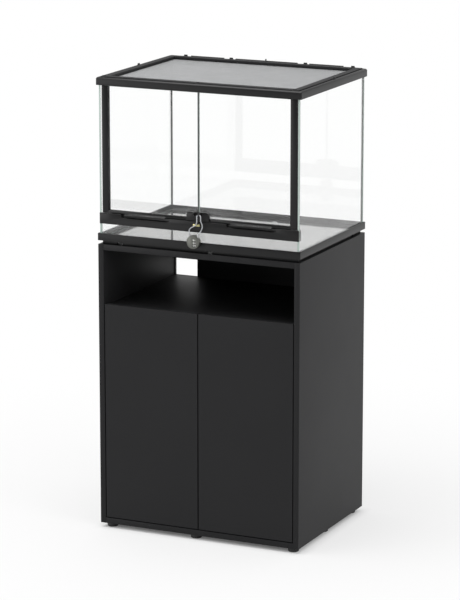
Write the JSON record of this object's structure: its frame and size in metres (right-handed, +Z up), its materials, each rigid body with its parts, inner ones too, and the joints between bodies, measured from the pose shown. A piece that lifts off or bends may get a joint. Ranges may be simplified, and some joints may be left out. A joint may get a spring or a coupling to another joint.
{
  "type": "terrarium cabinet",
  "caption": "Glass front-opening terrarium with a mesh lid and a cable lock, standing on a black board cabinet with an open niche and two inset doors.",
  "frame": {"origin": "on the floor, under the middle of the cabinet, at the centre of the middle foot", "axes": "+X to the right as the doors are faced, -Y out of the front, +Z up"},
  "size_m": [0.605, 0.4656, 1.272],
  "materials": {
    "black_board": "satin",
    "dark_board": "matte",
    "back_board": "matte",
    "black_plastic": "satin",
    "black_metal": "satin",
    "foot_plastic": "matte",
    "clear_glass": "clear",
    "silicone": "matte",
    "mesh_metal": "fine woven mesh",
    "plated_steel": "polished",
    "zinc_steel": "zinc plated",
    "lock_metal": "satin die-cast",
    "dial_plastic": "gloss",
    "cable_steel": "stranded, clear coated",
    "brass_plate": "plated",
    "dowel_wood": "raw beech",
    "latch_plastic": "satin"
  },
  "bodies": {
    "cabinet": {"side_panel_left": "black_board", "side_panel_right": "black_board", "top_panel": "dark_board", "bottom_panel": "black_board", "niche_shelf": "dark_board", "back_panel": "back_board", "inner_shelf": "dark_board", "shelf_pins": "zinc_steel", "feet": "foot_plastic", "dowels": "dowel_wood", "cam_locks": "zinc_steel", "cam_bolts": "zinc_steel", "back_screws": "zinc_steel", "hinge_arms_left": "plated_steel", "hinge_arms_right": "plated_steel", "latch_bodies": "latch_plastic", "base_frame": "black_plastic", "floor_glass": "clear_glass", "side_glass_left": "clear_glass", "side_glass_right": "clear_glass", "back_glass": "clear_glass", "front_glass": "clear_glass", "silicone_seams": "silicone", "front_rail": "black_plastic", "keeper": "brass_plate", "top_frame": "black_plastic", "inlet_covers": "black_plastic", "lid_clips": "foot_plastic"},
    "cabinet_door_left": {"cabinet_door_left": "black_board", "hinge_cups_left": "plated_steel", "strike_plate_left": "zinc_steel"},
    "cabinet_door_right": {"cabinet_door_right": "black_board", "hinge_cups_right": "plated_steel", "strike_plate_right": "zinc_steel"},
    "latch_plunger_left": {"latch_plunger_left": "latch_plastic"},
    "latch_plunger_right": {"latch_plunger_right": "latch_plastic"},
    "glass_door_left": {"door_glass_left": "clear_glass", "door_post_left": "black_plastic", "door_pivots_left": "zinc_steel", "door_foot_left": "black_plastic", "edge_strip_left": "silicone", "lock_plate_left": "black_plastic"},
    "glass_door_right": {"door_glass_right": "clear_glass", "door_post_right": "black_plastic", "door_pivots_right": "zinc_steel", "door_foot_right": "black_plastic", "edge_strip_right": "silicone", "lock_plate_right": "black_plastic"},
    "lid": {"lid_frame": "black_metal", "lid_mesh": "mesh_metal"},
    "lock": {"lock_shell_front": "lock_metal", "lock_shell_back": "lock_metal", "lock_spindle": "zinc_steel", "lock_cable": "cable_steel", "lock_ferrules": "plated_steel"},
    "lock_dial_top": {"lock_dial_top": "dial_plastic"},
    "lock_dial_middle": {"lock_dial_middle": "dial_plastic"},
    "lock_dial_bottom": {"lock_dial_bottom": "dial_plastic"}
  },
  "joints": [
    {"name": "cabinet_door_left_hinge", "type": "hinge", "parent": "cabinet", "child": "cabinet_door_left", "pos_m": [-0.2815, -0.225, 0.335], "axis": [0, 0, -1], "range_deg": [0, 100]},
    {"name": "cabinet_door_right_hinge", "type": "hinge", "parent": "cabinet", "child": "cabinet_door_right", "pos_m": [0.2815, -0.225, 0.335], "axis": [0, 0, 1], "range_deg": [0, 100]},
    {"name": "latch_left_push", "type": "slide", "parent": "cabinet", "child": "latch_plunger_left", "axis": [0, 1, 0], "range_m": [0, 0.0025], "stiffness_N_per_m": 400},
    {"name": "latch_right_push", "type": "slide", "parent": "cabinet", "child": "latch_plunger_right", "axis": [0, 1, 0], "range_m": [0, 0.0025], "stiffness_N_per_m": 400},
    {"name": "glass_door_left_hinge", "type": "hinge", "parent": "cabinet", "child": "glass_door_left", "pos_m": [-0.282, -0.213, 1.065], "axis": [0, 0, -1], "range_deg": [0, 100]},
    {"name": "glass_door_right_hinge", "type": "hinge", "parent": "cabinet", "child": "glass_door_right", "pos_m": [0.282, -0.213, 1.065], "axis": [0, 0, 1], "range_deg": [0, 100]},
    {"name": "lid_lift", "type": "slide", "parent": "cabinet", "child": "lid", "axis": [0, 0, 1], "range_m": [0, 0.1]},
    {"name": "lock_swing", "type": "hinge", "parent": "glass_door_right", "child": "lock", "pos_m": [0.008, -0.2335, 0.91195], "axis": [-1, 0, 0], "range_deg": [0, 70]},
    {"name": "dial_top_turn", "type": "hinge", "parent": "lock", "child": "lock_dial_top", "pos_m": [-0.003, -0.2335, 0.84355], "axis": [0, 0, 1], "continuous": true},
    {"name": "dial_middle_turn", "type": "hinge", "parent": "lock", "child": "lock_dial_middle", "pos_m": [-0.003, -0.2335, 0.83595], "axis": [0, 0, 1], "continuous": true},
    {"name": "dial_bottom_turn", "type": "hinge", "parent": "lock", "child": "lock_dial_bottom", "pos_m": [-0.003, -0.2335, 0.82835], "axis": [0, 0, 1], "continuous": true}
  ]
}
